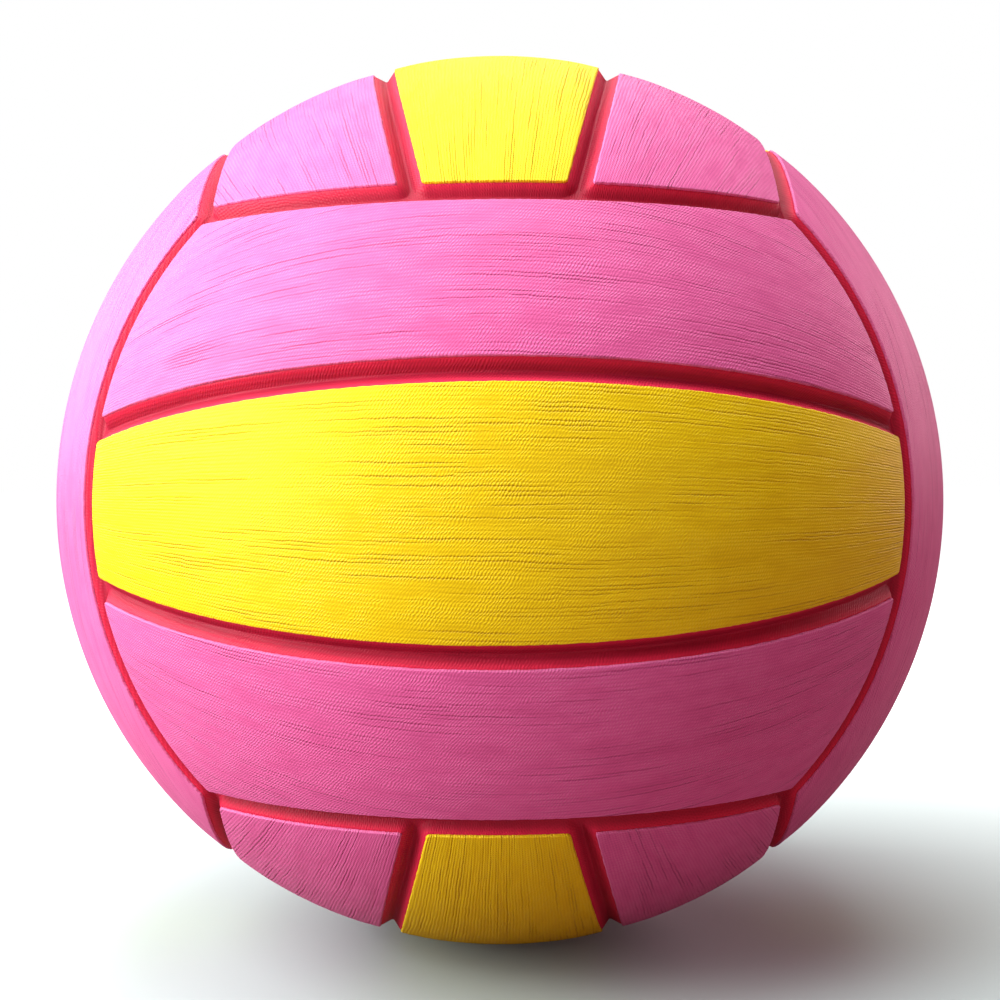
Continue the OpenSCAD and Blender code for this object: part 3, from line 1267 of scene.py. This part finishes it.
@dataclass(frozen=True)
class PanelRubber:
    """Matt coloured rubber of the panels, with pebbled grain, sunken rows and clouds, painted shade in
    the low grain and the rows, and painted highlights on the grain's tops and the panel's rims.

    Each size is a noise's length and width, and each zone the values between which something rises
    from nothing to its full share.
    """

    name: str
    base: Colour
    # The groove colour paints shade in the low grain and the sunken rows, and tints the clouds.
    groove: Colour
    # The lighter colour paints highlights on the grain's tops and on the panel's rim.
    wear_and_highlight: Colour
    sheen: float = 0.0
    sheen_roughness: float = 0.5
    roughness: float = 0.5
    high_gloss: float = 0.1
    specular: float = 0.2
    relief: float = 0.11 * MM
    drift_size: Pair = (26 * MM, 9 * MM)
    drift_reach: Pair = (1.2 * MM, 1.0 * MM)
    # Painted shade: low grain takes the darker groove colour.
    grain_shade_zone: Pair = (0.4, 0.0)
    grain_shade_share: float = 0.4
    # Painted highlight: high grain takes the lighter colour.
    grain_highlight_zone: Pair = (0.5, 1.0)
    grain_highlight_share: float = 0.3
    cloud_size: Pair = (60 * MM, 8 * MM)
    cloud_zone: Pair = (0.45, 0.75)
    cloud_share: float = 0.1
    # Painted highlight: the panel's rim takes the lighter colour.
    rim_zone: Pair = (0.5 * MM, 0.2 * MM)
    rim_highlight_share: float = 0.2
    row_size: Pair = (40 * MM, 1.0 * MM)
    row_zone: Pair = (0.47, 0.62)
    # Painted shade: sunken rows take the darker groove colour.
    row_shade_share: float = 0.85
    row_depth: float = 1.3
    patch_size: Pair = (36 * MM, 9 * MM)
    patch_zone: Pair = (0.36, 0.6)
    pebble_cut: float = 0.6
    grain: PebbledGrain = field(default_factory=PebbledGrain)

    def build(self) -> bpy.types.Material:
        """Makes the material from the strip's own plane.

        Low grain and sunken rows take the darker groove colour as painted shade, and high grain and the
        panel's rim the lighter colour as painted highlight. The grain's height, less the rows', gives
        the relief.

        Returns:
            The material.
        """
        material = bpy.data.materials.new(self.name)
        nodes = Nodes(material)
        flat = nodes.add("UVMap", {"uv_map": UV_NAME}).outputs[0]
        plane = nodes.pushed(flat, self.drift_size, self.drift_reach)
        grain, row, dot = self.grain.build(nodes, plane)
        pit = self.sunken_rows(nodes, plane, row, dot)
        cloud = nodes.patches(plane, self.cloud_size, 3.0)
        edge = nodes.add("Attribute", {"attribute_name": EDGE_NAME}).outputs["Fac"]

        # Painted shade: low grain and sunken rows darken to the groove colour.
        low = nodes.math("MAXIMUM", nodes.portion(grain, self.grain_shade_zone, self.grain_shade_share),
                         nodes.times(pit, self.row_shade_share))
        colour = nodes.mix(low, self.base, self.groove)
        # Painted highlight on high grain and on the rim; the clouds are a random darker tone.
        for value, zone, share, tone in ((grain, self.grain_highlight_zone, self.grain_highlight_share, self.wear_and_highlight),
                                         (cloud, self.cloud_zone, self.cloud_share, self.groove),
                                         (edge, self.rim_zone, self.rim_highlight_share, self.wear_and_highlight)):
            colour = nodes.mix(nodes.portion(value, zone, share), colour, tone)

        height = nodes.math("MULTIPLY_ADD", pit, -self.row_depth, grain)
        rough = nodes.math("MULTIPLY_ADD", grain, -self.high_gloss, self.roughness)
        shader = nodes.rubber(colour, rough, height, self.relief)
        nodes.plug(shader, "Specular IOR Level", self.specular)
        nodes.plug(shader, "Sheen Weight", self.sheen)
        nodes.plug(shader, "Sheen Roughness", self.sheen_roughness)
        nodes.finish(shader)
        return material

    def sunken_rows(self, nodes: Nodes, plane: Socket, row: Socket, dot: Socket) -> Socket:
        """Depth of the rows that lie deeper than the rest, from 0 to 1.

        They are valleys of the grain's own rows, (1 - row)^2, picked by noise stretched along the strip,
        and they fade where a broader noise is low. The grain's pebbles break them up.

        Args:
            nodes: the material's nodes.
            plane: places on the strip's plane.
            row: height of the grain's rows.
            dot: height of the pebbles in them.

        Returns:
            The depth.
        """
        chosen = nodes.ramp(nodes.patches(plane, self.row_size, 1.0), *self.row_zone)
        patch = nodes.ramp(nodes.patches(plane, self.patch_size, 2.0), *self.patch_zone)
        valley = nodes.math("POWER", nodes.math("SUBTRACT", 1.0, row), 2.0)
        broken = nodes.math("MULTIPLY_ADD", dot, -self.pebble_cut, 1.0)
        return nodes.times(nodes.times(nodes.times(chosen, patch), valley), broken)


@dataclass(frozen=True)
class CoverRubber:
    """Red rubber of the channels, with the same grain, with painted shade in its low grain, and with
    painted shade that darkens it towards the bottom of the channels.

    The channel shade's two shares are what the clouds add at most and what is there without them.
    """

    name: str
    base: Colour
    # The darker colour paints shade towards the channels' bottom and in the low grain.
    painted_shade: Colour
    roughness: float = 0.5
    specular: float = 0.2
    relief: float = 0.1 * MM
    cloud_rate: float = 60.0
    # Painted shade: darker with the channel's depth between these limits.
    channel_shade_zone: Pair = (0.7 * MM, 2.1 * MM)
    channel_shade_shares: Pair = (0.4, 0.32)
    # Painted shade: low grain takes the darker colour.
    grain_shade_zone: Pair = (0.4, 0.0)
    grain_shade_share: float = 0.3
    grain: PebbledGrain = field(default_factory=PebbledGrain)

    def build(self) -> bpy.types.Material:
        """Makes the material from the strip's plane, the object's own coordinates and the depth.

        Returns:
            The material.
        """
        material = bpy.data.materials.new(self.name)
        nodes = Nodes(material)
        place = nodes.add("TexCoord").outputs["Object"]
        plane = nodes.add("UVMap", {"uv_map": UV_NAME}).outputs[0]
        depth = nodes.add("Attribute", {"attribute_name": DEPTH_NAME}).outputs["Fac"]
        cloud = nodes.noise(place, self.cloud_rate, 3.0)
        grain, _, _ = self.grain.build(nodes, plane)
        # Painted shade: darker towards the bottom of the channels, varied by clouds.
        clouded = nodes.math("MULTIPLY_ADD", cloud, *self.channel_shade_shares)
        channel_shade = nodes.times(nodes.ramp(depth, *self.channel_shade_zone), clouded)
        colour = nodes.mix(channel_shade, self.base, self.painted_shade)
        # Painted shade: low grain darkens too.
        colour = nodes.mix(nodes.portion(grain, self.grain_shade_zone, self.grain_shade_share), colour, self.painted_shade)
        shader = nodes.rubber(colour, self.roughness, grain, self.relief)
        nodes.plug(shader, "Specular IOR Level", self.specular)
        nodes.finish(shader)
        return material


@dataclass(frozen=True)
class PlainRubber:
    """Rubber or thread of the inner pieces, with a fine surface of its own."""

    name: str
    base: Colour
    wear_and_highlight: Colour
    roughness: float
    feature: float
    relief: float
    cloud_rate_share: float = 0.1
    cloud_zone: Pair = (0.35, 0.7)

    def build(self) -> bpy.types.Material:
        """Makes the material from the object's own coordinates.

        Returns:
            The material.
        """
        material = bpy.data.materials.new(self.name)
        nodes = Nodes(material)
        place = nodes.add("TexCoord").outputs["Object"]
        fine = nodes.noise(place, 1 / self.feature, 3.0)
        cloud = nodes.noise(place, self.cloud_rate_share / self.feature, 2.0)
        colour = nodes.mix(nodes.ramp(cloud, *self.cloud_zone), self.base, self.wear_and_highlight)
        nodes.finish(nodes.rubber(colour, self.roughness, fine, self.relief))
        return material


FINISHES = (
    # Panels: the darker groove colour paints shade and clouds, the lighter one paints highlights.
    PanelRubber("pink_rubber", base=linear(237, 106, 171), groove=linear(176, 44, 108),
                wear_and_highlight=linear(250, 166, 210), sheen=0.06),
    PanelRubber("yellow_rubber", base=linear(252, 224, 12), groove=linear(200, 154, 0),
                wear_and_highlight=linear(255, 240, 70)),
    # Channels: the darker colour paints shade.
    CoverRubber("red_rubber", base=linear(226, 40, 76), painted_shade=linear(104, 4, 30)),
    # Inner pieces: the lighter colour is a random worn tone, not a highlight.
    PlainRubber("nylon_thread", base=linear(228, 222, 208), wear_and_highlight=linear(200, 192, 176),
                roughness=0.8, feature=0.4 * MM, relief=0.2 * MM),
    PlainRubber("butyl_rubber", base=linear(30, 30, 32), wear_and_highlight=linear(52, 52, 54),
                roughness=0.45, feature=2 * MM, relief=0.05 * MM),
    PlainRubber("valve_rubber", base=linear(44, 44, 48), wear_and_highlight=linear(70, 70, 74),
                roughness=0.5, feature=0.3 * MM, relief=0.03 * MM),
)


@dataclass
class Ball:
    """The whole ball: its panels, its under-cover, its valve and the finish of its hidden layers."""

    sizes: BallSizes = field(default_factory=BallSizes)
    seed_step: int = 17
    first_seed: int = 3

    def build(self, nodes: dict[str, bpy.types.Object]) -> None:
        """Builds and declares every piece.

        Args:
            nodes: the CAD nodes by name.
        """
        finishes = {finish.name: finish.build() for finish in FINISHES}
        cells = [StripCell(face, strip, self.sizes) for face in Face for strip in Strip]
        for index, cell in enumerate(cells):
            centre = cell.strip is Strip.CENTRE
            slot = "yellow_rubber" if centre else "pink_rubber"
            panel = PanelBuilder(cell, finishes[slot], self.seed_step * index + self.first_seed,
                                 with_valve=centre and cell.face is Face.BACK)
            self.declare(panel.build(), cell.name, slot)
        cover = CoverBuilder(finishes["red_rubber"], self.sizes).build()
        self.declare(cover, "under_cover", "red_rubber")
        self.dress(nodes["thread_winding"], finishes["nylon_thread"])
        self.dress(nodes["bladder"], finishes["butyl_rubber"])
        self.dress(nodes["valve_seat"], finishes["butyl_rubber"])
        plug = PlugBuilder(finishes["valve_rubber"], self.sizes).build()
        self.declare(plug, "valve_plug", "valve_rubber")

    @staticmethod
    def declare(piece: bpy.types.Object, node: str, slot: str) -> None:
        """Makes a piece ride on the ball and stand for a CAD node.

        Args:
            piece: the piece.
            node: name of the CAD node.
            slot: name of the record's material slot; not used.
        """
        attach(piece, "root")
        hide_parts(node)
        LOG.info("%s: %d vertices, stands for %s", piece.name, len(piece.data.vertices), node)

    @staticmethod
    def dress(node: bpy.types.Object, material: bpy.types.Material) -> None:
        """Gives a CAD node a finish of its own.

        Args:
            node: the CAD node.
            material: its new material.
        """
        for slot in node.material_slots:
            slot.material = material
        LOG.info("%s: kept from the CAD, finish %s", node.name, material.name)


@dataclass(frozen=True)
class Lamp:
    """A square area lamp that looks at the ball's centre.

    Its turn is the angle to the right of the camera, seen from above, its height the angle above the
    floor, and its power is in watts.
    """

    name: str
    turn: float
    height: float
    power: float
    size: float = 0.7
    tint: Triple = (1.0, 1.0, 1.0)
    distance: float = 1.1

    def build(self) -> None:
        """Adds the lamp."""
        turn, height = np.radians(self.turn), np.radians(self.height)
        way = np.array([np.sin(turn) * np.cos(height), -np.cos(turn) * np.cos(height), np.sin(height)])
        place = self.distance * way
        back = unit(place)
        side = unit(np.cross([0, 0, 1], back))
        lamp = bpy.data.lights.new(self.name, "AREA")
        lamp.size = self.size
        lamp.energy = self.power
        lamp.color = self.tint
        obj = bpy.data.objects.new(self.name, lamp)
        obj.matrix_world = axes_matrix(side, np.cross(back, side), back, place)
        bpy.context.scene.collection.objects.link(obj)


LAMPS = (
    Lamp("key_lamp", -48, 42, 6.8),
    Lamp("fill_lamp", 18, 6, 1.5, size=0.3, tint=(1.0, 0.5, 0.54)),
    Lamp("side_lamp", -70, 13, 14.8),
    Lamp("high_lamp", -92, 45, 8.0),
    Lamp("left_rim_lamp", -125, 20, 3.6),
    Lamp("top_lamp", 0, 82, 9.0),
    Lamp("back_lamp", 180, 55, 2.5),
    Lamp("right_rim_lamp", 120, 20, 5.5, tint=(1.0, 0.62, 0.68)),
)


@dataclass(frozen=True)
class Studio:
    """White floor and background, soft lamps and the camera of the photograph.

    The floor's two tones are what it gives back to the ball and what the camera sees of it.
    """

    ball_r: float = 105.0 * MM
    camera_distance_share: float = 3.69
    picture_r_share: float = 0.4444
    sensor_w: float = 36.0
    yaw: float = -0.44
    pitch: float = -1.40
    roll: float = -0.33
    floor_reach: float = 6.0
    floor_bounce: Colour = (0.21, 0.135, 0.14, 1.0)
    floor_seen: Colour = (0.46, 0.56, 0.545, 1.0)
    shadow_x: float = 0.025
    shadow_zone: Pair = (0.03, 0.41)
    world_light: float = 0.04
    clip_reach: Pair = (0.01, 50.0)

    def build(self) -> None:
        """Sets up the floor, the world, the lamps and the camera."""
        self.add_floor()
        self.add_world()
        for lamp in LAMPS:
            lamp.build()
        self.add_camera()
        bpy.context.scene.view_settings.view_transform = "Standard"

    def add_floor(self) -> None:
        """Adds the white floor under the ball.

        For the camera it also glows, more and more away from the ball, so that it fades to pure white.
        """
        reach, height = self.floor_reach, -self.ball_r
        corners = np.array([[-reach, -reach, height], [reach, -reach, height], [reach, reach, height],
                            [-reach, reach, height]])
        material = bpy.data.materials.new("white_floor")
        nodes = Nodes(material)
        ray = nodes.add("LightPath").outputs["Is Camera Ray"]
        place = nodes.add("TexCoord").outputs["Object"]
        apart = nodes.vector_math("DISTANCE", place, (self.shadow_x, 0.0, height)).outputs["Value"]
        far = nodes.ramp(apart, *self.shadow_zone)
        tone = nodes.mix(ray, self.floor_bounce, self.floor_seen)
        diffuse = nodes.add("BsdfDiffuse", Color=tone)
        glow = nodes.add("Emission", Color=WHITE, Strength=nodes.times(ray, far))
        both = nodes.add("AddShader")
        nodes.plug(both, 0, diffuse.outputs[0])
        nodes.plug(both, 1, glow.outputs[0])
        nodes.finish(both)
        mesh = Mesh(corners, np.array([[0, 1, 2, 3]]), np.zeros((0, 3), int))
        mesh.build("floor", material)

    def add_world(self) -> None:
        """Lights the scene evenly, and shows pure white behind it."""
        world = bpy.data.worlds.new("studio")
        bpy.context.scene.world = world
        nodes = Nodes(world)
        ray = nodes.add("LightPath").outputs["Is Camera Ray"]
        strength = nodes.add("MapRange", Value=ray, To_Min=self.world_light, To_Max=1.0).outputs[0]
        nodes.finish(nodes.add("Background", Color=WHITE, Strength=strength), "OutputWorld")

    def add_camera(self) -> None:
        """Adds the camera.

        Seen from a distance of d radii, the ball's outline has the radius f / sqrt(d^2 - 1), with f the
        focal length over the sensor's width. The three turns were measured on the seams.
        """
        turn = (turn_matrix((0, 0, 1), self.roll) @ turn_matrix((0, -1, 0), self.yaw)
                @ turn_matrix((1, 0, 0), self.pitch))
        right, up, back = (np.array([axis[0], -axis[2], axis[1]]) for axis in turn.T)
        share = float(np.sqrt(self.camera_distance_share ** 2 - 1))
        camera = bpy.data.cameras.new("camera")
        camera.sensor_width = self.sensor_w
        camera.lens = self.sensor_w * self.picture_r_share * share
        camera.clip_start, camera.clip_end = self.clip_reach
        obj = bpy.data.objects.new("camera", camera)
        obj.matrix_world = axes_matrix(right, up, back, back * self.camera_distance_share * self.ball_r)
        bpy.context.scene.collection.objects.link(obj)
        bpy.context.scene.camera = obj


def axes_matrix(side: np.ndarray, up: np.ndarray, back: np.ndarray, place: np.ndarray) -> Matrix:
    """World matrix of an object that looks along its own -Z.

    Args:
        side: the object's own X.
        up: its Y.
        back: its Z.
        place: its origin.

    Returns:
        The matrix.
    """
    matrix = np.eye(4)
    matrix[:3] = np.stack([side, up, back, place], -1)
    return Matrix(matrix.tolist())


def main() -> None:
    """Loads the frame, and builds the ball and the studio."""
    logging.basicConfig(level=logging.INFO, format="%(name)s: %(message)s")
    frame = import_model()
    Ball().build(frame["nodes"])
    Studio().build()


if __name__ == "__main__":
    main()
